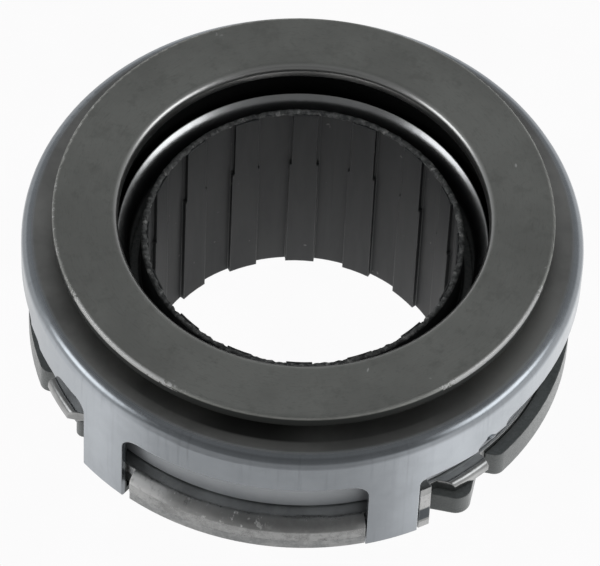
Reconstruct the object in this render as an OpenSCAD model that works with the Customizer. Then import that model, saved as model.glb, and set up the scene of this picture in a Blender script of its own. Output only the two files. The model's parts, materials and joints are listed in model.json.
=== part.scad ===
// Clutch release bearing: a self-centring angular contact ball bearing held in a
// sheet-metal cover on a pressed steel carrier with a moulded guide sleeve.
// Origin: centre of the sleeve's rear end face. +Z points to the contact face.
// Angles are counted from the front of the part, which faces -Y, towards +X.

/* [Guide sleeve] */
// Bore across the guide pads, a running fit on the guide tube
bore_d = 40; // [36:0.5:42]
// Number of guide pads round the bore
pad_count = 16; // [8:2:20]
// Share of the pitch that one pad takes
pad_share = 0.49; // [0.35:0.01:0.6]
// Depth of the grooves between the pads
pad_groove = 0.6; // [0.3:0.05:0.7]
// Share of the pad width that is left above the ledge
pad_upper_share = 0.86; // [0.75:0.01:0.95]
// Height of the pad ledge below the top edge of the carrier's neck
pad_ledge_drop = 10.05; // [6:0.05:13]
// Wall of the moulded liner inside the steel neck
liner_wall = 2.4; // [2.2:0.05:2.6]
// Wall of the liner where its top stands free of the neck
liner_top_wall = 0.95; // [0.85:0.05:1.3]
// Rise of the liner above the neck's top edge
liner_rise = 0.35; // [0.1:0.05:0.6]
// Depth of the gap between the liner's free top and the neck
liner_gap_h = 6; // [3:0.5:9]
// Length of the sleeve's tail below its base plate
tail_len = 13.65; // [8:0.05:18]
// Wall of the sleeve's tail
tail_wall = 3.4; // [2.5:0.1:4.5]
// Thickness of the moulded base under the carrier plate
base_t = 3.35; // [2.6:0.05:4.5]
// Height of the base's front and rear lip below the carrier's rim
base_lip_h = 1.65; // [1.2:0.05:2]

/* [Carrier] */
// Thickness of the carrier's steel sheet
carrier_t = 1.8; // [1.5:0.1:2]
// Height of the carrier's neck above its plate
neck_h = 12.55; // [12:0.05:13]
// Bend radius at the foot of the neck
neck_bend = 0.8; // [0.6:0.1:0.9]
// Radius of the round that opens the neck's inner edge at its top
neck_round = 4.5; // [3:0.1:5]
// Angle that the carrier and the sleeve stand turned in the play of the cover's legs
carrier_turn = 0.85; // [0:0.05:0.9]
// Half angle of the front and rear rims
rim_half_angle = 25.15; // [22:0.05:25.2]
// Distance of the tabs' cut ends in front of the axis
tab_cut_y = 24.8; // [24:0.1:25.5]
// Angle to the far end of each tab
tab_end_angle = 54.9; // [52:0.1:58]
// Radius of the tabs' rolled edge
tab_roll = 1.1; // [0.8:0.1:1.3]

/* [Bearing] */
// Diameter of the balls
ball_d = 5; // [4.6:0.1:5.4]
// Number of balls
ball_count = 24; // [18:1:26]
// Play between a ball and each raceway
race_play = 0.075; // [0.05:0.005:0.1]
// Radial play between the neck and the thrust ring, for self-centring
float_gap = 1.15; // [0.9:0.05:1.3]
// Wall of the thrust ring under its raceway
thrust_wall = 1.4; // [1.2:0.1:1.8]
// Wall of the outer ring behind its raceway
outer_wall = 1.7; // [1.5:0.05:2]
// Room behind the balls for the cage's rim and the rear seal
rear_room = 2.05; // [1.9:0.05:2.4]
// Room in front of the balls for the cage and the front seal
front_room = 1.3; // [1.2:0.1:1.8]
// Height of the contact face above the cover
face_rise = 4; // [3.6:0.1:5]
// Thickness of the contact flange
flange_t = 1.9; // [1.6:0.1:2.2]
// Outer diameter of the contact flange
flange_d = 65; // [62:0.5:67]
// Overhang of the contact flange inside the thrust ring's bore
face_overhang = 1.35; // [1:0.1:1.9]
// Rounding of the contact face's inner edge
face_bend = 0.55; // [0.4:0.05:0.8]
// Rounding of the contact face's inner edge
face_roll = 1; // [0.7:0.05:1.2]

/* [Cover] */
// Thickness of the cover's sheet
cover_t = 1; // [0.8:0.1:1.2]
// Radial room for the outer ring inside the cover
cover_room = 1.9; // [1.7:0.1:2.4]
// Room between the hole in the cover's top and the thrust ring
hole_room = 1.4; // [1.2:0.05:1.6]
// Radius of the cover's rolled shoulder
shoulder_r = 1.9; // [1.4:0.1:2.4]
// Angle to the near edge of each leg
leg_start_angle = 26.3; // [26.2:0.1:28]
// Angle that each leg spans
leg_angle = 10.9; // [9:0.1:11.5]
// Height of the front and rear windows' upper edge above the carrier plate
window_rise = 7.8; // [6:0.1:9]
// Corner radius of the windows
window_corner = 2.5; // [1.5:0.1:3]
// Height of a side window's upper edge at its near leg
side_low_rise = 5.9; // [5:0.1:6.5]
// Height of a side window's upper edge after its first step
side_mid_rise = 7.3; // [6.8:0.1:8]
// Height of a side window's upper edge at mid side
side_high_rise = 8.6; // [8.2:0.1:9.5]
// Height of a side window's upper edge at its far leg
side_far_rise = 7.6; // [7:0.1:8.2]
// Angle of a side window's first step
side_step_angle = 51; // [49:0.5:54]
// Angle of a side window's second step
side_top_angle = 58.5; // [57:0.5:64]
// Free height of the wave spring between outer ring and cover
spring_h = 2.55; // [2.2:0.05:3]

/* [Hidden] */
// Fineness of the round shapes
$fn = 96;
// Overrun of every cut beyond the face that it goes through
over = 1;
// Gap between flat faces that rest on each other
seat = 0.05;
// Running gap of the seals and the cage
run_gap = 0.3;

// Radii, from the bore outwards
bore_r = bore_d / 2;
neck_ir = bore_r + liner_wall;
neck_or = neck_ir + carrier_t;
thrust_ir = neck_or + float_gap;
ball_r = ball_d / 2;
race_r = ball_r + race_play;
pitch_r = thrust_ir + thrust_wall + race_r;
outer_or = pitch_r + race_r + outer_wall;
cover_ir = outer_or + cover_room;
cover_or = cover_ir + cover_t;
flange_r = flange_d / 2;
flange_ir = thrust_ir - face_overhang;
liner_or = bore_r + liner_top_wall;
tail_or = bore_r + tail_wall;

// Cage and seals, which the height of the rings depends on
cage_wall = 1.9;
cage_play = 0.15;
cage_rim_t = 1.5;
pocket_r = ball_r + cage_play;
seal_t = 0.6;

// Heights, from the sleeve's rear end upwards
base_z = tail_len;
plate_lo = base_z + base_t;
plate_hi = plate_lo + carrier_t;
neck_z = plate_hi + neck_h;
neck_edge = 0.2;
neck_round_z = neck_z + neck_round - sqrt(pow(neck_round, 2) - pow(neck_round - carrier_t + neck_edge, 2));
outer_lo = plate_hi + seat;
ball_z = outer_lo + rear_room + cage_rim_t + pocket_r;
outer_hi = ball_z + ball_r + front_room + seal_t;
cover_lo = outer_hi + spring_h;
cover_hi = cover_lo + cover_t;
face_z = cover_hi + face_rise;
flange_lo = face_z - flange_t;

// Fall of the cover's top towards its hole
cover_dish = 0.3;

// Outer ring and thrust ring shoulders, as shares of the raceway radius
high_shoulder_share = 0.52;
low_shoulder_share = 0.8;
thrust_high_r = pitch_r - high_shoulder_share * race_r;
thrust_low_r = pitch_r - low_shoulder_share * race_r;
outer_high_r = pitch_r + high_shoulder_share * race_r;
outer_low_r = pitch_r + low_shoulder_share * race_r;
thrust_lo = outer_lo + carrier_t - carrier_t / 4;
ring_chamfer = 0.5;

// Cage: a crown of pockets on a rim behind the balls
cage_ir = pitch_r - cage_wall / 2;
cage_or = pitch_r + cage_wall / 2;
cage_lo = ball_z - pocket_r - cage_rim_t;
cage_hi = ball_z + 0.6 * ball_r;

// Seals
seal_lip = 0.3;
front_seal_z = outer_hi - seal_t;
rear_seal_z = outer_lo + seal_t / 2;

// Wave spring
spring_t = 0.4;
spring_w = 3;
spring_waves = 4;
spring_steps = 96;
spring_or = outer_or - ring_chamfer;
spring_ir = spring_or - spring_w;
spring_rise = cover_lo - cover_dish - outer_hi - spring_t - 2 * seat;

// Cover details
cover_hole_r = thrust_high_r + hole_room;
crimp_t = cover_t;
crimp_in = 1.7;
hook_room = 0.2;
corner_share = 0.9;
corner_end = 0.96;
leg_lo = base_z - 0.6;
dip_rise = side_low_rise + 0.5;
dip_near_angle = 47.5;
dip_far_angle = 55;
side_back_angle = 60.5;
crimp_hi = leg_lo + crimp_t;

// Carrier and base details
rim_roll = carrier_t;
rim_lo = base_z + base_lip_h + seat;
notch_hi_angle = leg_start_angle + leg_angle + 1.2;
plate_r = outer_or + run_gap;
notch_r = cover_ir - run_gap;
tab_r = cover_or - 0.85;
prong_r = cover_or - 0.5;
prong_angle = 2.5;
prong_start_angle = leg_start_angle + leg_angle - 0.15;
prong_inset = 0.3;
prong_rise = 2.6;
base_r = cover_or - carrier_t - seat;
base_side_r = plate_r - 0.2;
base_wide_angle = leg_start_angle + leg_angle + 2.3;
base_lip_r = cover_or - 0.1;
hook_r = cover_ir - crimp_in - seat;
right_lug_y = tab_cut_y + 1.05;
right_lug_x = 0.756 * cover_or;
left_lug_y = tab_cut_y + 0.05;
left_lug_x = 0.6726 * cover_or;
right_lug_w = 5;
left_lug_w = 4.4;
right_lug_corner = 2;
left_lug_corner = 1;
side_plate_r = cover_or - 0.9;
side_plate_y = 18.7;
side_plate_corner = 1.5;
side_plate_hi = plate_lo + 1;

// Names of the separate pieces
function ball_name(i) = str("ball_", i < 10 ? "0" : "", i);
BALLS = [for (i = [1:ball_count]) ball_name(i)];

// Plane shapes in the section plane: x is the radius and y is the height
module band(r_lo, r_hi, z_lo, z_hi) {
    translate([r_lo, z_lo]) square([r_hi - r_lo, z_hi - z_lo]);
}

// Corner piece between two edges and a round of radius q, centred towards (sr, sz)
module spandrel(r, z, q, sr, sz, extra = 0) {
    difference() {
        translate([min(r - sr * extra, r + sr * q), min(z - sz * extra, z + sz * q)]) square(q + extra);
        translate([r + sr * q, z + sz * q]) circle(q);
    }
}

// Turns a section about the axis, from one angle to another
module turn(lo = -180, hi = 180) {
    span = hi - lo;
    rotate([0, 0, lo - 90]) rotate_extrude(angle = span) children();
}

// Sector of a ring
module sector(r_lo, r_hi, z_lo, z_hi, lo, hi) {
    turn(lo, hi) band(r_lo, r_hi, z_lo, z_hi);
}

// Side strip of a window at an angle, with one rounded upper corner; side is 1 or -1
module window_side(angle, side, z_lo, z_hi, corner, r_lo, r_hi) {
    rotate([0, 0, angle - 90]) mirror([0, side < 0 ? 1 : 0, 0]) translate([r_lo, 0, 0])
        rotate([90, 0, 90]) linear_extrude(r_hi - r_lo) difference() {
            translate([0, z_lo]) square([corner_end * corner, z_hi - z_lo]);
            spandrel(0, z_hi, corner, 1, -1, over);
        }
}

// The four mirrored quarters of a shape at the front right
module quarters() {
    for (mx = [0, 1], my = [0, 1]) mirror([mx, 0, 0]) mirror([0, my, 0]) children();
}

// The front shape and its mirrored copy at the rear
module front_and_rear() {
    for (my = [0, 1]) mirror([0, my, 0]) children();
}

// Window in the cover's wall: open below, with rounded upper corners. The corner strips reach
// further out and down than the middle piece and end just short of its upper edge.
module window(lo, hi, z_lo, z_hi, corner, extra = 0) {
    inset = corner_share * corner / cover_or * 180 / PI;
    r_lo = cover_ir - crimp_in - over - extra;
    r_hi = cover_or + over + extra;
    sector(r_lo, r_hi, z_lo, z_hi, lo + inset, hi - inset);
    window_side(lo, 1, z_lo - over, z_hi, corner, r_lo + over / 2, r_hi + over / 2);
    window_side(hi, -1, z_lo - over, z_hi, corner, r_lo + over / 2, r_hi + over / 2);
}

// Window at the right side: it steps up twice behind its near leg and dips before its far leg
module side_window(leg_end) {
    mid = 90;
    corner = window_corner / 2;
    window(leg_end, mid + side_back_angle / 2, leg_lo - over, plate_hi + side_low_rise, corner);
    window(side_step_angle, 180 - dip_far_angle, plate_hi, plate_hi + side_mid_rise, corner, seat);
    window(side_top_angle, 180 - side_back_angle, plate_hi + over, plate_hi + side_high_rise,
           corner, 2 * seat);
    window(mid, 180 - dip_near_angle + over, leg_lo - 2 * over, plate_hi + dip_rise, corner, 3 * seat);
    window(180 - dip_near_angle, 180 - leg_end, leg_lo - 3 * over, plate_hi + side_far_rise,
           window_corner * 3 / 4, 4 * seat);
}

module thrust_ring() {
    edge = flange_t / 4;
    color([0.34, 0.34, 0.32]) turn() difference() {
        union() {
            band(thrust_ir, thrust_low_r, thrust_lo, ball_z);
            band(thrust_ir, thrust_high_r, ball_z, face_z);
            band(flange_ir, flange_r, flange_lo, face_z);
            spandrel(thrust_high_r, flange_lo, face_bend, 1, -1);
            spandrel(thrust_ir, flange_lo, face_bend, -1, -1);
        }
        translate([pitch_r, ball_z]) circle(race_r);
        spandrel(flange_ir, face_z, face_roll, 1, -1, over);
        spandrel(flange_r, face_z, edge, -1, -1, over);
        spandrel(flange_r, flange_lo, edge / 2, -1, 1, over);
        spandrel(thrust_ir, thrust_lo, edge, 1, 1, over);
    }
}

module outer_ring() {
    color([0.62, 0.63, 0.64]) turn() difference() {
        union() {
            band(outer_high_r, outer_or, outer_lo, ball_z);
            band(outer_low_r, outer_or, ball_z, outer_hi);
        }
        translate([pitch_r, ball_z]) circle(race_r);
        spandrel(outer_or, outer_lo, ring_chamfer, -1, 1, over);
        spandrel(outer_or, outer_hi, ring_chamfer, -1, -1, over);
    }
}

module ball(i) {
    color([0.75, 0.75, 0.76]) rotate([0, 0, (i - 1) * 360 / ball_count])
        translate([0, -pitch_r, ball_z]) sphere(ball_r);
}

module ball_cage() {
    color([0.2, 0.24, 0.22]) difference() {
        turn() band(cage_ir, cage_or, cage_lo, cage_hi);
        for (i = [1:ball_count])
            rotate([0, 0, (i - 1) * 360 / ball_count - 90]) translate([cage_ir - over, 0, ball_z])
                rotate([0, 90, 0]) cylinder(h = cage_wall + 2 * over, r = pocket_r);
    }
}

// Seal disc with a lip towards the thrust ring
module seal(z, r_lo, r_hi) {
    color([0.12, 0.12, 0.12]) turn() {
        band(r_lo + seal_lip, r_hi, z, z + seal_t);
        band(r_lo, r_lo + seal_lip, z + seal_t / 4, z + seal_t * 3 / 4);
    }
}

module front_seal() {
    seal(front_seal_z, thrust_high_r + run_gap, outer_low_r - seat);
}

module rear_seal() {
    seal(rear_seal_z, thrust_low_r + run_gap, outer_high_r - seat);
}

// Height of the wave spring's underside at step i
function wave(i) = outer_hi + seat + spring_rise * (1 - cos(i * spring_waves * 360 / spring_steps)) / 2;

module wave_spring() {
    rings = [for (i = [0:spring_steps - 1]) let (a = i * 360 / spring_steps, z = wave(i))
        for (p = [[spring_ir, z], [spring_or, z], [spring_or, z + spring_t], [spring_ir, z + spring_t]])
            [p[0] * cos(a), p[0] * sin(a), p[1]]];
    quads = [for (i = [0:spring_steps - 1], k = [0:3]) let (n = 4 * spring_steps, m = (k + 1) % 4)
        [4 * i + k, 4 * i + m, (4 * i + 4 + m) % n, (4 * i + 4 + k) % n]];
    color([0.5, 0.5, 0.52]) polyhedron(points = rings, faces = quads, convexity = 8);
}

// The cover is drawn as a closed pot with a full hooked edge; the windows leave its legs
module housing_cover() {
    leg_end = leg_start_angle + leg_angle;
    leg_mid = leg_start_angle + leg_angle / 2;
    color([0.45, 0.47, 0.49]) difference() {
        turn(leg_mid - 360, leg_mid) difference() {
            union() {
                polygon([[cover_hole_r, cover_lo - cover_dish], [cover_ir, cover_lo],
                         [cover_ir, cover_hi], [cover_hole_r, cover_hi - cover_dish]]);
                band(cover_ir, cover_or, leg_lo, cover_hi);
                band(cover_ir - crimp_in, cover_or, leg_lo, crimp_hi);
                spandrel(cover_ir, cover_lo, shoulder_r - cover_t, -1, -1);
            }
            spandrel(cover_or, cover_hi, shoulder_r, -1, -1, over);
            spandrel(cover_or, leg_lo, crimp_t * 0.6, -1, 1, over);
        }
        front_and_rear() window(-leg_start_angle, leg_start_angle, leg_lo - over,
                                plate_hi + window_rise, window_corner);
        for (half = [0, 1]) rotate([0, 0, half * 180]) side_window(leg_end);
    }
}

// Section of what is cut off the carrier's rim: all beyond radius r, and the turned-down part
module rim_cut(r, extra) {
    band(r, cover_or + over + extra, rim_lo - over - extra, plate_hi + over + extra);
    band(base_r - extra, cover_or + over + extra, rim_lo - over - extra, plate_lo + seat + extra);
}

// What is cut off the plate in front of each tab, between its ear and the tab's cut end
module tab_front_outline() {
    ear_end = prong_start_angle + prong_angle - prong_inset;
    reach = cover_or + 3 * over;
    difference() {
        polygon([[tab_cut_y * tan(ear_end), -tab_cut_y], [reach * tan(ear_end), -reach],
                 [reach, -reach], [reach, -tab_cut_y]]);
        circle(plate_r + seat);
    }
}

// The carrier is drawn with a full turned-down rim, which is then cut away beside the legs
module carrier_plate() {
    notch_mid_angle = (rim_half_angle + notch_hi_angle) / 2;
    color([0.3, 0.3, 0.29]) rotate([0, 0, carrier_turn]) union() {
        difference() {
            turn(-90, 270) difference() {
                union() {
                    band(neck_ir, neck_or, plate_lo, neck_z);
                    band(neck_ir, cover_or, plate_lo, plate_hi);
                    band(cover_or - carrier_t, cover_or, rim_lo, plate_hi);
                    spandrel(neck_or, plate_hi, neck_bend, 1, 1);
                }
                spandrel(neck_or, neck_z, neck_edge, -1, -1, over);
                spandrel(neck_ir, neck_round_z, neck_round, 1, -1, over);
                spandrel(neck_ir, plate_lo, neck_bend, 1, 1, over);
            }
            front_and_rear() turn(-notch_mid_angle, notch_mid_angle)
                spandrel(cover_or, plate_hi, rim_roll, -1, -1, over / 2);
            quarters() turn(rim_half_angle, notch_hi_angle) rim_cut(notch_r, 0);
            for (mx = [0, 1]) mirror([mx, 0, 0]) {
                turn(notch_hi_angle - prong_inset, 180 - notch_hi_angle + prong_inset) {
                    rim_cut(tab_r, seat);
                    spandrel(tab_r, plate_hi, tab_roll, -1, -1, over / 4);
                }
                sector(plate_r, cover_or + 3 * over, rim_lo - 2 * over, plate_hi + 2 * over,
                       tab_end_angle, 180 - tab_end_angle);
            }
            quarters() translate([0, 0, rim_lo - 3 * over])
                linear_extrude(plate_hi - rim_lo + 6 * over) tab_front_outline();
        }
        for (half = [0, 1]) rotate([0, 0, half * 180])
            sector(base_r + seat, prong_r, leg_lo, plate_hi + prong_rise,
                   prong_start_angle, prong_start_angle + prong_angle);
    }
}

// One groove between two guide pads; above the ledge it is wider and a little less deep
module groove(i) {
    pitch = 360 / pad_count;
    half = pitch * (1 - pad_share) / 2;
    upper = pitch * (1 - pad_share * pad_upper_share) / 2;
    ledge_z = neck_z - pad_ledge_drop;
    sector(bore_r - over, bore_r + pad_groove, -over, neck_z + 2 * over, i * pitch - half, i * pitch + half);
    sector(bore_r - over / 2, bore_r + pad_groove - seat, ledge_z, neck_z + over,
           i * pitch - upper, i * pitch + upper);
}

// Outline of the side plates: two arcs with straight ends and rounded corners
module side_plate_outline() {
    corner_x = sqrt(pow(side_plate_r - side_plate_corner, 2) - pow(side_plate_y - side_plate_corner, 2));
    corner_y = side_plate_y - side_plate_corner;
    reach = (side_plate_r + over) / (side_plate_r - side_plate_corner);
    end_x = sqrt(pow(side_plate_r, 2) - pow(side_plate_y, 2));
    difference() {
        intersection() {
            circle(side_plate_r);
            translate([0, -side_plate_y]) square([side_plate_r, 2 * side_plate_y]);
        }
        for (my = [0, 1]) mirror([0, my]) difference() {
            polygon([[corner_x, -corner_y], [corner_x, -side_plate_y - over],
                     [end_x + over, -side_plate_y - over], [corner_x * reach, -corner_y * reach]]);
            translate([corner_x, -corner_y]) circle(side_plate_corner);
        }
    }
}

// Outline of a lug under a tab, at the front right
module lug_outline(x, y, w, corner) {
    difference() {
        translate([x - w, -y]) square([w, y]);
        circle(base_side_r - over);
        spandrel(x, -y, corner, -1, 1, over);
    }
}

// What the moulded base has beyond its disc: side plates, lugs under the tabs, front and rear lips
module base_edges() {
    for (mx = [0, 1]) mirror([mx, 0, 0]) {
        translate([0, 0, base_z]) linear_extrude(base_t) difference() {
            side_plate_outline();
            circle(base_side_r - over);
        }
        translate([0, 0, plate_lo - seat]) linear_extrude(side_plate_hi - plate_lo + seat) difference() {
            side_plate_outline();
            circle(plate_r + seat);
        }
    }
    for (half = [0, 1]) rotate([0, 0, half * 180]) translate([0, 0, base_z]) linear_extrude(base_t) {
        lug_outline(right_lug_x, right_lug_y, right_lug_w, right_lug_corner);
        mirror([1, 0, 0]) lug_outline(left_lug_x, left_lug_y, left_lug_w, left_lug_corner);
    }
    front_and_rear() sector(base_side_r - over, base_r, base_z, plate_lo, -base_wide_angle, base_wide_angle);
    front_and_rear() sector(base_r - over / 2, base_lip_r, base_z, base_z + base_lip_h,
                            -rim_half_angle, rim_half_angle);
}

module guide_sleeve() {
    liner_hi = neck_z + liner_rise;
    liner_shoulder = neck_z - liner_gap_h;
    leg_end = leg_start_angle + leg_angle;
    color([0.22, 0.23, 0.23]) difference() {
        rotate([0, 0, carrier_turn]) union() {
            turn() difference() {
                union() {
                    band(bore_r, liner_or, 0, liner_hi);
                    band(bore_r, neck_ir, 0, liner_shoulder);
                    band(bore_r, tail_or, 0, base_z);
                    band(bore_r, base_side_r, base_z, plate_lo);
                    spandrel(neck_ir, plate_lo, neck_bend, 1, 1);
                }
                spandrel(tail_or, 0, ring_chamfer, -1, 1, over);
            }
            base_edges();
        }
        for (i = [0:pad_count - 1]) groove(i);
        quarters() sector(hook_r, cover_or + over, base_z - over, crimp_hi + seat,
                          leg_start_angle - hook_room, leg_end + hook_room);
    }
}

thrust_ring();
outer_ring();
ball_cage();
front_seal();
rear_seal();
wave_spring();
housing_cover();
carrier_plate();
guide_sleeve();
for (i = [1:ball_count]) ball(i);
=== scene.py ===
import json
import math

import bpy
import numpy as np
from mathutils import Matrix, Vector


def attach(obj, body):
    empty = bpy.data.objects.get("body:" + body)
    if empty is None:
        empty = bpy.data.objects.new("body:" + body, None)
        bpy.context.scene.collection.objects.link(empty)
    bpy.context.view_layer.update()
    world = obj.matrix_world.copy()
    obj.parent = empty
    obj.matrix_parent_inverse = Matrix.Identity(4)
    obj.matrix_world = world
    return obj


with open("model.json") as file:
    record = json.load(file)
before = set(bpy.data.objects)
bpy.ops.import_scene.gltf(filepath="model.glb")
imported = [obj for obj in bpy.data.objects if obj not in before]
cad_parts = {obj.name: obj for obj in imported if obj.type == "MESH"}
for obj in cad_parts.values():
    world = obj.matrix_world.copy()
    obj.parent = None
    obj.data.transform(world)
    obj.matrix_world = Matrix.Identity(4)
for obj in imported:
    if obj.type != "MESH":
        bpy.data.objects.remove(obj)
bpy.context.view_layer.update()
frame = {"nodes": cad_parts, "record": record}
NODES = frame["nodes"]
MM = 0.001
TO_DEG = 180.0 / math.pi
EDGE_R = 0.2 * MM        # rounding that the shader gives to an edge
FRONT_DEG = 28.0         # half the angle over which the front window shows bead and lip
CARRIED = "sleeve_and_cover"


# ---------------------------------------------------------------- node helpers
class Graph:
    """Short calls for building a node tree."""

    def __init__(self, tree):
        self.tree = tree
        tree.nodes.clear()

    def add(self, kind, inputs=None, **props):
        node = self.tree.nodes.new(kind)
        for key, value in props.items():
            setattr(node, key, value)
        for key, value in (inputs or {}).items():
            self.put(node.inputs[key], value)
        return node

    def put(self, socket, value):
        if isinstance(value, bpy.types.NodeSocket):
            self.tree.links.new(value, socket)
        else:
            socket.default_value = value

    def math(self, op, a, b=0.0, c=0.0, clamp=False):
        node = self.add("ShaderNodeMath", operation=op, use_clamp=clamp)
        for i, value in enumerate((a, b, c)):
            self.put(node.inputs[i], value)
        return node.outputs[0]

    def smooth(self, value, lo, hi, a=0.0, b=1.0):
        node = self.add("ShaderNodeMapRange", interpolation_type="SMOOTHSTEP")
        for i, v in enumerate((value, lo, hi, a, b)):
            self.put(node.inputs[i], v)
        return node.outputs[0]

    def mix(self, factor, a, b):
        node = self.add("ShaderNodeMix", data_type="RGBA")
        self.put(node.inputs[0], factor)
        self.put(node.inputs[6], a if isinstance(a, bpy.types.NodeSocket) else (*a, 1))
        self.put(node.inputs[7], b if isinstance(b, bpy.types.NodeSocket) else (*b, 1))
        return node.outputs[2]

    def blend(self, factor, a, b):
        """Number a where factor is 0, b where it is 1."""
        return self.add("ShaderNodeMix", {0: factor, 2: a, 3: b}, data_type="FLOAT").outputs[0]

    def noise(self, vector, scale, detail=4.0, rough=0.55, distort=0.0):
        node = self.add(
            "ShaderNodeTexNoise",
            {"Vector": vector, "Scale": scale, "Detail": detail, "Roughness": rough, "Distortion": distort},
        )
        return node.outputs[0]

    def scaled(self, vector, factors):
        node = self.add("ShaderNodeVectorMath", {0: vector, 1: factors}, operation="MULTIPLY")
        return node.outputs[0]


class Surface(Graph):
    """A material with a principled shader and object coordinates, which are the row frame."""

    def __init__(self, name):
        self.material = bpy.data.materials.new(name)
        self.material.use_nodes = True
        super().__init__(self.material.node_tree)
        self.bsdf = self.add("ShaderNodeBsdfPrincipled")
        out = self.add("ShaderNodeOutputMaterial")
        self.tree.links.new(self.bsdf.outputs[0], out.inputs[0])
        self.pos = self.add("ShaderNodeTexCoord").outputs["Object"]
        split = self.add("ShaderNodeSeparateXYZ", {0: self.pos})
        self.x, self.y, self.z = split.outputs
        across = self.math("MULTIPLY", self.x, self.x)
        along = self.math("MULTIPLY", self.y, self.y)
        self.r = self.math("SQRT", self.math("ADD", across, along))
        self.angle = self.math("ARCTAN2", self.x, self.math("MULTIPLY", self.y, -1.0))

    def polar(self, turns):
        """Coordinates along the turning direction: angle, radius, height."""
        return self.add("ShaderNodeCombineXYZ", {0: self.math("MULTIPLY", self.angle, turns),
                                                 1: self.r, 2: self.z}).outputs[0]

    def bump(self, height, strength, distance, round_edge=0.0):
        inputs = {"Strength": strength, "Distance": distance, "Height": height}
        if round_edge:
            inputs["Normal"] = self.add("ShaderNodeBevel", {"Radius": round_edge}, samples=6).outputs[0]
        self.put(self.bsdf.inputs["Normal"], self.add("ShaderNodeBump", inputs).outputs[0])


def band(g, value, lo, hi, soft):
    """1 between lo and hi, falling to 0 over soft."""
    return g.math("MULTIPLY", g.smooth(value, lo - soft, lo), g.smooth(value, hi, hi + soft, 1.0, 0.0))


def both(g, *masks):
    total = masks[0]
    for mask in masks[1:]:
        total = g.math("MULTIPLY", total, mask)
    return total


def degrees(g):
    """Angle from the front towards +X, in degrees."""
    return g.math("MULTIPLY", g.angle, TO_DEG)


def edges(g, radius):
    """1 on the outer edges that handling wears bright."""
    round_n = g.add("ShaderNodeBevel", {"Radius": radius}, samples=6).outputs[0]
    true_n = g.add("ShaderNodeNewGeometry").outputs["Normal"]
    dot = g.add("ShaderNodeVectorMath", {0: round_n, 1: true_n}, operation="DOT_PRODUCT").outputs["Value"]
    return g.smooth(dot, 0.86, 0.985, 1.0, 0.0)


def scratches(g, turns, scale, width):
    """Fine scratches that run round the axis."""
    lines = g.noise(g.scaled(g.polar(1.0), (turns, scale, scale)), 1.0, 2.0, 0.5, 0.3)
    return g.math("MULTIPLY", g.smooth(lines, 0.5 - width, 0.5), g.smooth(lines, 0.5, 0.5 + width, 1.0, 0.0))


def specks(g, scale, level):
    """Small sharp spots."""
    return g.smooth(g.noise(g.pos, scale, 2.0, 0.5), level, level + 0.03)


def finish_steel(g, shade, rough, grain, edge, metal=1.0):
    fine = g.noise(g.pos, 1500.0, 3.0, 0.6)
    g.put(g.bsdf.inputs["Base Color"], shade)
    g.put(g.bsdf.inputs["Metallic"], metal)
    g.put(g.bsdf.inputs["Roughness"], rough)
    height = g.math("ADD", fine, g.math("MULTIPLY", g.noise(g.pos, 260.0, 3.0, 0.6), 1.4))
    g.bump(height, 0.10 * grain, 0.05 * MM, edge)
    return g


def plain_steel(name, color, dark, rough, rough_span, grain=1.0, edge=EDGE_R, metal=1.0):
    """Ground steel: mottling, turning marks."""
    g = Surface(name)
    cloud = g.noise(g.pos, 120.0, 5.0, 0.6)
    shade = g.mix(g.smooth(cloud, 0.35, 0.68), color, dark)
    shade = g.mix(g.math("MULTIPLY", scratches(g, 3.0, 9000.0, 0.05), 0.35), shade, dark)
    span = g.smooth(g.noise(g.pos, 300.0, 4.0, 0.6), 0.3, 0.7, rough, rough + rough_span)
    return finish_steel(g, shade, span, grain, edge, metal)


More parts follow.
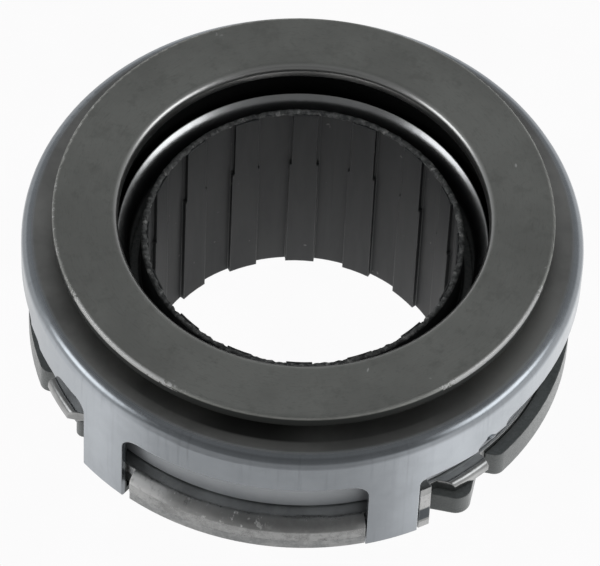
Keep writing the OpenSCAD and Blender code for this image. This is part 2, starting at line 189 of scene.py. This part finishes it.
def contact_steel():
    """Hardened ring: matte grey face, brighter inner lip, outer edge rubbed bright in places and brightest
    where the side lamps fall, partly a painted highlight.
    """
    g = Surface("contact_steel")
    deg = degrees(g)
    cloud = g.noise(g.pos, 70.0, 6.0, 0.62)
    mottle = g.noise(g.pos, 420.0, 4.0, 0.65)
    face = g.mix(g.smooth(cloud, 0.34, 0.68), (0.54, 0.55, 0.52), (0.44, 0.447, 0.423))
    face = g.mix(g.math("MULTIPLY", g.smooth(mottle, 0.5, 0.7), 0.5), face, (0.37, 0.376, 0.355))
    face = g.mix(g.math("MULTIPLY", scratches(g, 9.0, 2600.0, 0.02), 0.22), face, (0.2, 0.2, 0.19))
    face = g.mix(g.math("MULTIPLY", specks(g, 520.0, 0.745), 0.8), face, (0.75, 0.75, 0.73))
    nicks = g.noise(g.scaled(g.pos, (420.0, 160.0, 300.0)), 1.0, 1.0, 0.4)
    face = g.mix(g.smooth(nicks, 0.79, 0.80), face, (0.95, 0.95, 0.93))
    # the flange; what lies below it is coloured near black, a painted shade
    flange = g.smooth(g.z, 34.9 * MM, 35.12 * MM)
    # dark side of the flange and its rubbed outer edge; the rubbing is made strongest at the angles the side
    # lamps light, so it is partly a painted highlight
    rim = g.smooth(g.r, 32.0 * MM, 32.3 * MM)
    side = both(g, g.smooth(g.r, 32.35 * MM, 32.48 * MM), g.smooth(g.z, 36.3 * MM, 36.65 * MM, 1.0, 0.0))
    torn = g.noise(g.scaled(g.polar(1.0), (60.0, 1500.0, 1500.0)), 1.0, 6.0, 0.75)
    # angles that the side lamps light: the edge's painted highlight is strongest here
    where = g.math("MAXIMUM", band(g, deg, -46.0, -24.0, 18.0),
                   g.math("MAXIMUM", band(g, deg, 52.0, 76.0, 16.0),
                          g.math("MULTIPLY", band(g, deg, -110.0, -52.0, 12.0), 0.6)))
    level = g.math("SUBTRACT", 0.95, g.math("MULTIPLY", where, 0.52))
    ripped = g.smooth(torn, g.math("SUBTRACT", level, 0.12), level)
    wear_and_highlight = both(g, rim, g.smooth(g.z, 36.1 * MM, 36.3 * MM), ripped)
    lip = both(g, g.smooth(g.r, 24.35 * MM, 24.8 * MM, 1.0, 0.0), flange)
    shade = g.mix(side, face, (0.10, 0.105, 0.10))
    shade = g.mix(wear_and_highlight, shade, (0.95, 0.95, 0.93))
    shade = g.mix(lip, shade, (0.74, 0.74, 0.72))
    # painted shade: everything below the flange is coloured near black
    shade = g.mix(flange, (0.10, 0.102, 0.10), shade)
    rough = g.smooth(mottle, 0.3, 0.7, 0.40, 0.52)
    rough = g.blend(lip, rough, 0.28)
    rough = g.blend(wear_and_highlight, rough, 0.38)
    rough = g.blend(flange, 0.45, rough)
    metal = g.math("SUBTRACT", 1.0, g.math("MULTIPLY", wear_and_highlight, 0.6))
    return finish_steel(g, shade, rough, 1.6, 0.16 * MM, metal)


def cover_steel():
    """Drawn sheet: satin, faint drawing marks down the skirt, oil stains on the top."""
    g = Surface("cover_steel")
    cloud = g.noise(g.pos, 80.0, 5.0, 0.6)
    drawn = g.noise(g.scaled(g.polar(1.0), (60.0, 60.0, 60.0)), 1.0, 5.0, 0.65)
    shade = g.mix(g.smooth(cloud, 0.35, 0.7), (0.53, 0.565, 0.60), (0.45, 0.48, 0.51))
    shade = g.mix(g.math("MULTIPLY", g.smooth(drawn, 0.5, 0.72), 0.3), shade, (0.36, 0.385, 0.41))
    top = both(g, g.smooth(g.z, 32.0 * MM, 32.6 * MM), g.smooth(g.r, 34.6 * MM, 35.4 * MM, 1.0, 0.0))
    stain = g.smooth(g.noise(g.pos, 55.0, 5.0, 0.6), 0.36, 0.62)
    shade = g.mix(top, shade, g.mix(stain, (0.40, 0.40, 0.39), (0.60, 0.60, 0.58)))
    deg = degrees(g)
    # painted shadow: the top is coloured near black along the ring's edge, mostly at the front, where the
    # flange's shadow falls
    front = g.math("MAXIMUM", g.math("MULTIPLY", band(g, deg, -25.0, 38.0, 10.0), 0.45),
                   g.math("MULTIPLY", band(g, deg, -2.0, 4.0, 24.0), 0.95))
    painted_flange_shadow = both(g, top, g.smooth(g.r, 33.15 * MM, 33.6 * MM, 1.0, 0.0), front)
    shade = g.mix(g.math("MULTIPLY", painted_flange_shadow, 0.9), shade, (0.05, 0.052, 0.05))
    shade = g.mix(g.math("MULTIPLY", specks(g, 1500.0, 0.79), 0.3), shade, (0.25, 0.26, 0.27))
    edge = edges(g, 0.22 * MM)
    shade = g.mix(g.math("MULTIPLY", edge, 0.5), shade, (0.78, 0.8, 0.82))
    # painted shade: the skirt's inner face below the top is coloured near black
    inside = g.smooth(g.r, 35.7 * MM, 35.9 * MM, 1.0, 0.0)
    inner = both(g, inside, g.smooth(g.z, 31.8 * MM, 32.2 * MM, 1.0, 0.0))
    shade = g.mix(inner, shade, (0.09, 0.1, 0.1))
    rough = g.smooth(g.noise(g.pos, 200.0, 4.0, 0.6), 0.3, 0.7, 0.19, 0.26)
    rough = g.blend(top, rough, 0.46)
    metal = g.math("SUBTRACT", 1.0, g.math("MULTIPLY", top, 0.12))
    return finish_steel(g, shade, rough, 0.5, EDGE_R, metal)


def carrier_steel():
    """Pressed carrier: dark and glossy, scuffed along the front bead with painted light mixed in, bright where
    it was sheared.
    """
    g = Surface("carrier_steel")
    deg = degrees(g)
    cloud = g.noise(g.pos, 150.0, 5.0, 0.62)
    shade = g.mix(g.smooth(cloud, 0.32, 0.7), (0.52, 0.525, 0.52), (0.30, 0.303, 0.30))
    fleck = g.smooth(g.noise(g.pos, 700.0, 4.0, 0.6), 0.55, 0.72)
    shade = g.mix(g.math("MULTIPLY", fleck, 0.5), shade, (0.55, 0.55, 0.54))
    neck = g.smooth(g.r, 25.2 * MM, 25.8 * MM, 1.0, 0.0)
    neck_tone = g.mix(g.smooth(cloud, 0.35, 0.65), (0.78, 0.785, 0.785), (0.68, 0.685, 0.685))
    shade = g.mix(neck, shade, neck_tone)
    # scuffed front bead: a bright patch at its left end, partly real wear and partly a painted highlight where
    # the lamp catches the rolled crest, and specks trailing to the right
    torn = g.noise(g.scaled(g.polar(1.0), (34.0, 420.0, 700.0)), 1.0, 5.0, 0.72)
    crest = both(g, g.smooth(g.r, 35.1 * MM, 35.5 * MM), band(g, g.z, 17.3 * MM, 18.72 * MM, 0.35 * MM))
    patch = both(g, crest, band(g, deg, -25.0, -18.0, 4.5), g.smooth(torn, 0.34, 0.5))
    trail = both(g, crest, band(g, deg, -16.0, 2.0, 6.0), g.smooth(torn, 0.57, 0.63))
    rub = g.smooth(g.noise(g.pos, 380.0, 5.0, 0.7), 0.3, 0.62, 0.45, 1.0)
    # scuffing mixed with painted light: lighter towards the bead's lower front face and towards the left, as
    # the lamps light it
    scuff_and_light = both(g, g.smooth(g.r, 34.3 * MM, 36.1 * MM), g.smooth(g.z, 16.9 * MM, 17.3 * MM),
                 band(g, deg, -FRONT_DEG, FRONT_DEG, 2.0), rub)
    low = both(g, g.smooth(g.r, 36.2 * MM, 36.4 * MM), g.smooth(g.z, 16.9 * MM, 17.3 * MM, 1.0, 0.0))
    dust = both(g, low, g.smooth(g.noise(g.pos, 520.0, 5.0, 0.7), 0.4, 0.66))
    # sheared faces of the upright ear
    ear = both(g, band(g, deg, 37.0, 41.5, 0.3), g.smooth(g.r, 34.62 * MM, 34.68 * MM))
    break_face = both(g, ear, band(g, g.z, 17.3 * MM, 19.8 * MM, 0.25 * MM), g.smooth(torn, 0.3, 0.5))
    foot = both(g, ear, g.smooth(g.z, 13.9 * MM, 14.4 * MM, 1.0, 0.0))
    painted_pocket_shade = both(g, ear, band(g, g.z, 14.8 * MM, 16.8 * MM, 0.3 * MM))
    shade = g.mix(g.math("MULTIPLY", dust, 0.85), shade, (0.86, 0.86, 0.85))
    scuff_and_light_tone = g.mix(g.smooth(deg, -22.0, 8.0), (0.72, 0.72, 0.71), (0.26, 0.26, 0.255))
    shade = g.mix(g.math("MULTIPLY", scuff_and_light, 0.85), shade, scuff_and_light_tone)
    # painted shade: the ear's pocket is coloured near black
    shade = g.mix(painted_pocket_shade, shade, (0.07, 0.08, 0.09))
    sheared = g.math("MAXIMUM", break_face, g.math("MULTIPLY", foot, 0.6))
    bright = g.math("MAXIMUM", g.math("MAXIMUM", patch, trail), sheared)
    shade = g.mix(bright, shade, (0.9, 0.9, 0.89))
    edge = g.math("MULTIPLY", edges(g, 0.25 * MM), g.math("SUBTRACT", 1.0, neck))
    shade = g.mix(g.math("MULTIPLY", edge, 0.45), shade, (0.7, 0.7, 0.69))
    rubbed = g.math("MAXIMUM", g.math("MAXIMUM", bright, dust), g.math("MULTIPLY", scuff_and_light, 0.8))
    rough = g.smooth(g.noise(g.pos, 260.0, 4.0, 0.6), 0.3, 0.7, 0.13, 0.24)
    rough = g.blend(neck, rough, 0.27)
    rough = g.blend(rubbed, rough, 0.5)
    metal = g.math("SUBTRACT", 1.0, g.math("MULTIPLY", rubbed, 0.7))
    metal = g.math("MAXIMUM", metal, g.math("MULTIPLY", patch, 0.75))
    return finish_steel(g, shade, rough, 1.6, EDGE_R, metal)


def plastic(name, color, light, rough, edge=EDGE_R):
    g = Surface(name)
    cloud = g.noise(g.pos, 160.0, 5.0, 0.6)
    fine = g.noise(g.pos, 1800.0, 3.0, 0.65)
    g.put(g.bsdf.inputs["Base Color"], g.mix(g.smooth(cloud, 0.35, 0.7), color, light))
    g.put(g.bsdf.inputs["Roughness"], g.smooth(fine, 0.3, 0.7, rough, rough + 0.15))
    g.bump(g.math("ADD", fine, cloud), 0.2, 0.06 * MM, edge)
    return g


def sleeve_plastic():
    """Glass-filled moulding: grey, streaked in the bore, dusty on the front lip."""
    g = Surface("sleeve_plastic")
    cloud = g.noise(g.pos, 140.0, 6.0, 0.62)
    fine = g.noise(g.pos, 1700.0, 3.0, 0.65)
    shade = g.mix(g.smooth(cloud, 0.33, 0.7), (0.150, 0.164, 0.161), (0.215, 0.230, 0.225))
    # bore: darker, a painted shade, with upright streaks and rubbed spots
    bore = g.smooth(g.r, 21.2 * MM, 21.5 * MM, 1.0, 0.0)
    streak = g.noise(g.scaled(g.polar(1.0), (9.0, 9.0, 60.0)), 1.0, 6.0, 0.66, 0.6)
    liner = g.mix(g.smooth(streak, 0.3, 0.72), (0.012, 0.014, 0.016), (0.030, 0.032, 0.033))
    liner = g.mix(g.math("MULTIPLY", g.smooth(cloud, 0.45, 0.7), 0.5), liner, (0.030, 0.032, 0.031))
    liner = g.mix(g.math("MULTIPLY", specks(g, 800.0, 0.74), 0.6), liner, (0.24, 0.24, 0.23))
    shade = g.mix(bore, shade, liner)
    # dusty front lip with thin light lines
    lip = both(g, g.smooth(g.r, 35.6 * MM, 36.1 * MM), g.smooth(g.z, 15.4 * MM, 15.6 * MM, 1.0, 0.0),
               band(g, degrees(g), -FRONT_DEG, FRONT_DEG, 1.0))
    lines = scratches(g, 2.0, 1500.0, 0.05)
    cover = g.smooth(g.noise(g.pos, 480.0, 5.0, 0.7), 0.38, 0.66)
    dusty = g.mix(cover, (0.50, 0.51, 0.51), (0.82, 0.82, 0.81))
    dusty = g.mix(g.math("MULTIPLY", lines, 0.5), dusty, (0.62, 0.62, 0.61))
    shade = g.mix(lip, shade, dusty)
    edge = edges(g, 0.3 * MM)
    shade = g.mix(g.math("MULTIPLY", edge, 0.4), shade, (0.36, 0.37, 0.37))
    g.put(g.bsdf.inputs["Base Color"], shade)
    rough = g.smooth(fine, 0.3, 0.7, 0.22, 0.34)
    g.put(g.bsdf.inputs["Roughness"], g.blend(bore, rough, 0.6))
    g.put(g.bsdf.inputs["Specular IOR Level"], 0.55)
    g.bump(g.math("ADD", fine, g.math("MULTIPLY", cloud, 1.5)), 0.16, 0.05 * MM, 0.3 * MM)
    return g


def torn_plastic():
    """Rough flash: pale where it is torn, darker in the hollows of its bump, a painted shade."""
    g = Surface("torn_plastic")
    rip = g.noise(g.pos, 1500.0, 5.0, 0.7)
    long_rip = g.noise(g.scaled(g.polar(1.0), (30.0, 900.0, 900.0)), 1.0, 4.0, 0.6)
    # painted shade: the colour darkens where the bump's height is low
    shade = g.mix(g.smooth(rip, 0.38, 0.66), (0.06, 0.063, 0.063), (0.26, 0.265, 0.26))
    shade = g.mix(g.math("MULTIPLY", g.smooth(long_rip, 0.56, 0.7), 0.8), shade, (0.6, 0.6, 0.58))
    g.put(g.bsdf.inputs["Base Color"], shade)
    g.put(g.bsdf.inputs["Roughness"], g.smooth(rip, 0.3, 0.7, 0.45, 0.7))
    g.bump(g.math("ADD", rip, long_rip), 0.5, 0.12 * MM)
    return g


MATERIALS = {
    "contact_steel": contact_steel(),
    "race_steel": plain_steel("race_steel", (0.80, 0.83, 0.86), (0.70, 0.73, 0.76),
                              0.4, 0.08, 0.4, EDGE_R, 0.45),
    "ball_steel": plain_steel("ball_steel", (0.7, 0.7, 0.71), (0.64, 0.64, 0.65), 0.08, 0.04, 0.2, 0.0),
    "spring_steel": plain_steel("spring_steel", (0.4, 0.4, 0.41), (0.3, 0.3, 0.31), 0.25, 0.1),
    "cover_steel": cover_steel(),
    "carrier_steel": carrier_steel(),
    "cage_plastic": plastic("cage_plastic", (0.05, 0.07, 0.06), (0.07, 0.09, 0.08), 0.4),
    "seal_rubber": plastic("seal_rubber", (0.012, 0.012, 0.012), (0.02, 0.02, 0.02), 0.55),
    "sleeve_plastic": sleeve_plastic(),
}

for sub in frame["record"]["subparts"]:
    node = NODES[sub["node"]]
    surface = MATERIALS[sub["material_slot"]]
    if node.data.materials:
        node.data.materials[0] = surface.material
    else:
        node.data.materials.append(surface.material)


# ---------------------------------------------------------------- small pieces
def piece(name, points, faces, surface):
    """A mesh piece that rides on the sleeve and cover."""
    mesh = bpy.data.meshes.new(name)
    mesh.from_pydata([tuple(v) for v in points], [], faces)
    mesh.validate()
    mesh.update()
    thing = bpy.data.objects.new(name, mesh)
    bpy.context.scene.collection.objects.link(thing)
    mesh.materials.append(surface.material)
    for face in mesh.polygons:
        face.use_smooth = True
    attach(thing, CARRIED)


def wrap(count, around, closed):
    """Quads over rings of points; a run that isn't closed gets a cap at each end."""
    faces = []
    for i in range(count if closed else count - 1):
        a, b = i * around, (i + 1) % count * around
        for k in range(around):
            m = (k + 1) % around
            faces.append((a + k, b + k, b + m, a + m))
    if not closed:
        faces.append(tuple(range(around)))
        faces.append(tuple(reversed(range((count - 1) * around, count * around))))
    return faces


def place(turn_deg, r, z):
    """Point at an angle from the front towards +X, a radius and a height, the last two in mm."""
    turn = math.radians(turn_deg)
    return Vector((r * math.sin(turn), -r * math.cos(turn), z)) * MM


def uneven(rng, count, waves, low, high):
    """Seeded wobble round the circle, between low and high."""
    turn = np.linspace(0.0, 2.0 * math.pi, count, endpoint=False)
    total = np.zeros(count)
    for n in waves:
        total += rng.uniform(0.4, 1.0) * np.sin(n * turn + rng.uniform(0.0, 2.0 * math.pi))
    total = (total - total.min()) / (total.max() - total.min())
    return low + (high - low) * total


def liner_flash(surface):
    """Ragged flash left round the liner's free top."""
    rng = np.random.default_rng(11)
    count = 720
    foot, bore_r, wall_r = 31.64, 20.01, 20.98
    inner = uneven(rng, count, (3, 7, 16, 31, 57, 90, 133), 20.03, 20.4)
    inner += rng.uniform(-0.03, 0.03, count)
    top = uneven(rng, count, (2, 5, 13, 24, 44, 71, 110), 31.78, 32.05)
    top += rng.uniform(-0.03, 0.03, count)
    crest = uneven(rng, count, (4, 9, 21, 38, 64), 0.35, 0.75)
    points = []
    for i in range(count):
        deg = i * 360.0 / count
        lo, z = max(inner[i], bore_r), top[i]
        mid = lo + (wall_r - lo) * crest[i]
        section = ((lo, foot), (wall_r, foot), (wall_r, z - 0.06), (mid, z),
                   (lo + 0.06, foot + (z - foot) * 0.6))
        points += [place(deg, r, h) for r, h in section]
    piece("liner_flash", points, wrap(count, len(section), True), surface)


def burr(name, route, width, surface):
    """Small torn lip of metal along a route of (degrees, radius, height)."""
    around, flatness, points = 6, 0.7, []
    spots = [place(*spot) for spot in route]
    for i, spot in enumerate(spots):
        ahead = spots[min(i + 1, len(spots) - 1)] - spots[max(i - 1, 0)]
        ahead.normalize()
        out = Vector((spot.x, spot.y, 0)).normalized()
        side = ahead.cross(out).normalized()
        out = side.cross(ahead).normalized()
        share = math.sin(math.pi * (i + 0.35) / (len(spots) - 0.3))
        for k in range(around):
            turn = 2.0 * math.pi * k / around
            reach = out * math.cos(turn) * flatness + side * math.sin(turn)
            points.append(spot + reach * width * share * MM)
    piece(name, points, wrap(len(spots), around, False), surface)


liner_flash(torn_plastic())
# torn curl on the skirt's lower edge at the right, and a nick on the left leg's outer edge
burr("skirt_burr",
     [(52.4, 36.42, 25.75), (53.0, 36.5, 26.0), (53.7, 36.62, 26.2), (54.4, 36.66, 26.2), (55.1, 36.58, 26.05),
      (55.6, 36.45, 25.95)], 0.17, MATERIALS["cover_steel"])
burr("leg_burr", [(-37.2, 36.1, 15.2), (-37.3, 36.2, 14.7), (-37.3, 36.2, 14.2), (-37.2, 36.1, 13.8)], 0.14,
     MATERIALS["cover_steel"])


# ---------------------------------------------------------------- studio
def studio():
    """White table, dim walls that are darker in front, a low soft box at each side."""
    scene = bpy.context.scene
    scene.view_settings.view_transform = "Standard"
    scene.view_settings.look = "None"
    world = bpy.data.worlds.new("studio")
    scene.world = world
    world.use_nodes = True
    g = Graph(world.node_tree)
    direction = g.add("ShaderNodeTexCoord").outputs["Generated"]
    x, y, z = g.add("ShaderNodeSeparateXYZ", {0: direction}).outputs
    rise = g.math("MULTIPLY", g.math("ARCSINE", z), TO_DEG)
    deg = g.math("MULTIPLY", g.math("ARCTAN2", x, g.math("MULTIPLY", y, -1.0)), TO_DEG)
    level = band(g, rise, 17.0, 31.0, 9.0)
    left = band(g, deg, -76.0, -58.0, 14.0)
    right = band(g, deg, 76.0, 100.0, 14.0)
    boxes = g.math("MULTIPLY", level, g.math("MAXIMUM", left, right))
    front = both(g, band(g, deg, -46.0, 55.0, 14.0), g.smooth(rise, 42.0, 62.0, 1.0, 0.0))
    walls = g.smooth(rise, 25.0, 70.0, 0.24, 0.15)
    walls = g.math("SUBTRACT", walls, g.math("MULTIPLY", front, 0.11))
    low = g.smooth(rise, 2.0, 12.0, 0.26, 0.0)
    shaded = g.math("MULTIPLY", band(g, deg, -20.0, 30.0, 15.0), 0.8)
    low = g.math("MULTIPLY", low, g.math("SUBTRACT", 1.0, shaded))
    light = g.math("ADD", g.math("MULTIPLY", boxes, 1.5), g.math("ADD", walls, low))
    seen = g.add("ShaderNodeLightPath").outputs["Is Camera Ray"]
    strength = g.math("ADD", g.math("MULTIPLY", light, g.math("SUBTRACT", 1.0, seen)), seen)
    back = g.add("ShaderNodeBackground", {"Color": (0.97, 0.985, 1.0, 1), "Strength": strength})
    out = g.add("ShaderNodeOutputWorld")
    g.tree.links.new(back.outputs[0], out.inputs[0])

    mesh = bpy.data.meshes.new("floor")
    half = 3.0
    corners = [(-half, -half, 0), (half, -half, 0), (half, half, 0), (-half, half, 0)]
    mesh.from_pydata(corners, [], [(0, 1, 2, 3)])
    floor = bpy.data.objects.new("floor", mesh)
    scene.collection.objects.link(floor)
    g = Surface("floor_paper")
    deg = degrees(g)
    # what the part mirrors: bright table at the sides, a darker patch in front, dim far away
    patch = band(g, deg, -20.0, 27.0, 30.0)
    far = g.smooth(g.r, 120.0 * MM, 300.0 * MM, 0.36, 0.0)
    glow = g.math("MULTIPLY", band(g, deg, -74.0, -44.0, 12.0), far)
    near = g.math("ADD", g.smooth(g.r, 56.0 * MM, 100.0 * MM, 0.94, 0.56), glow)
    near = g.math("MINIMUM", near, 0.95)
    dimmed = g.math("MULTIPLY", band(g, deg, -130.0, -58.0, 30.0), 0.2)
    near = g.math("MULTIPLY", near, g.math("SUBTRACT", 1.0, dimmed))
    depth = g.smooth(g.r, 60.0 * MM, 110.0 * MM, 0.5, 0.27)
    mirrored = g.math("SUBTRACT", near, g.math("MULTIPLY", patch, depth))
    seen = g.add("ShaderNodeLightPath").outputs["Is Camera Ray"]
    paper = g.smooth(g.noise(g.pos, 60.0, 3.0), 0.2, 0.8, 0.962, 0.974)
    unseen = g.math("MULTIPLY", mirrored, g.math("SUBTRACT", 1.0, seen))
    strength = g.math("ADD", unseen, g.math("MULTIPLY", paper, seen))
    g.put(g.bsdf.inputs["Base Color"], (0.0, 0.0, 0.0, 1))
    g.put(g.bsdf.inputs["Roughness"], 1.0)
    g.put(g.bsdf.inputs["Specular IOR Level"], 0.0)
    g.put(g.bsdf.inputs["Emission Color"], (1.0, 0.997, 1.0, 1))
    g.put(g.bsdf.inputs["Emission Strength"], strength)
    mesh.materials.append(g.material)


def camera():
    """Camera of the photograph, fitted to its concentric circles and leg corners."""
    elevation, azimuth, roll = 0.922469, math.radians(10.3), 0.049918
    focal, distance, sensor = 5960.23, 0.7725, 36.0     # pixels, metres, mm
    width, height = 600, 566
    # the point aimed at, and the pixel where the photograph shows it
    aim, spot = Vector((0, 0, 0.0319)), (302.91, 236.18)
    turn = Matrix.Rotation(azimuth, 3, "Z")
    forward = turn @ Vector((0, math.cos(elevation), -math.sin(elevation)))
    right0 = turn @ Vector((1, 0, 0))
    up0 = turn @ Vector((0, math.sin(elevation), math.cos(elevation)))
    right = math.cos(roll) * right0 + math.sin(roll) * up0
    up = -math.sin(roll) * right0 + math.cos(roll) * up0
    base = Matrix((right, up, -forward)).transposed()
    du = (spot[0] - width / 2) / focal
    dv = -(spot[1] - height / 2) / focal
    q = Vector((0, 0, -1)).rotation_difference(Vector((du, dv, -1)))
    data = bpy.data.cameras.new("camera")
    cam = bpy.data.objects.new("camera", data)
    bpy.context.scene.collection.objects.link(cam)
    data.sensor_width = sensor
    data.lens = sensor * focal / width
    data.clip_start, data.clip_end = 0.01, 20.0
    rotation = base @ q.inverted().to_matrix()
    cam.matrix_world = Matrix.Translation(aim - forward * distance) @ rotation.to_4x4()
    bpy.context.scene.camera = cam


studio()
camera()
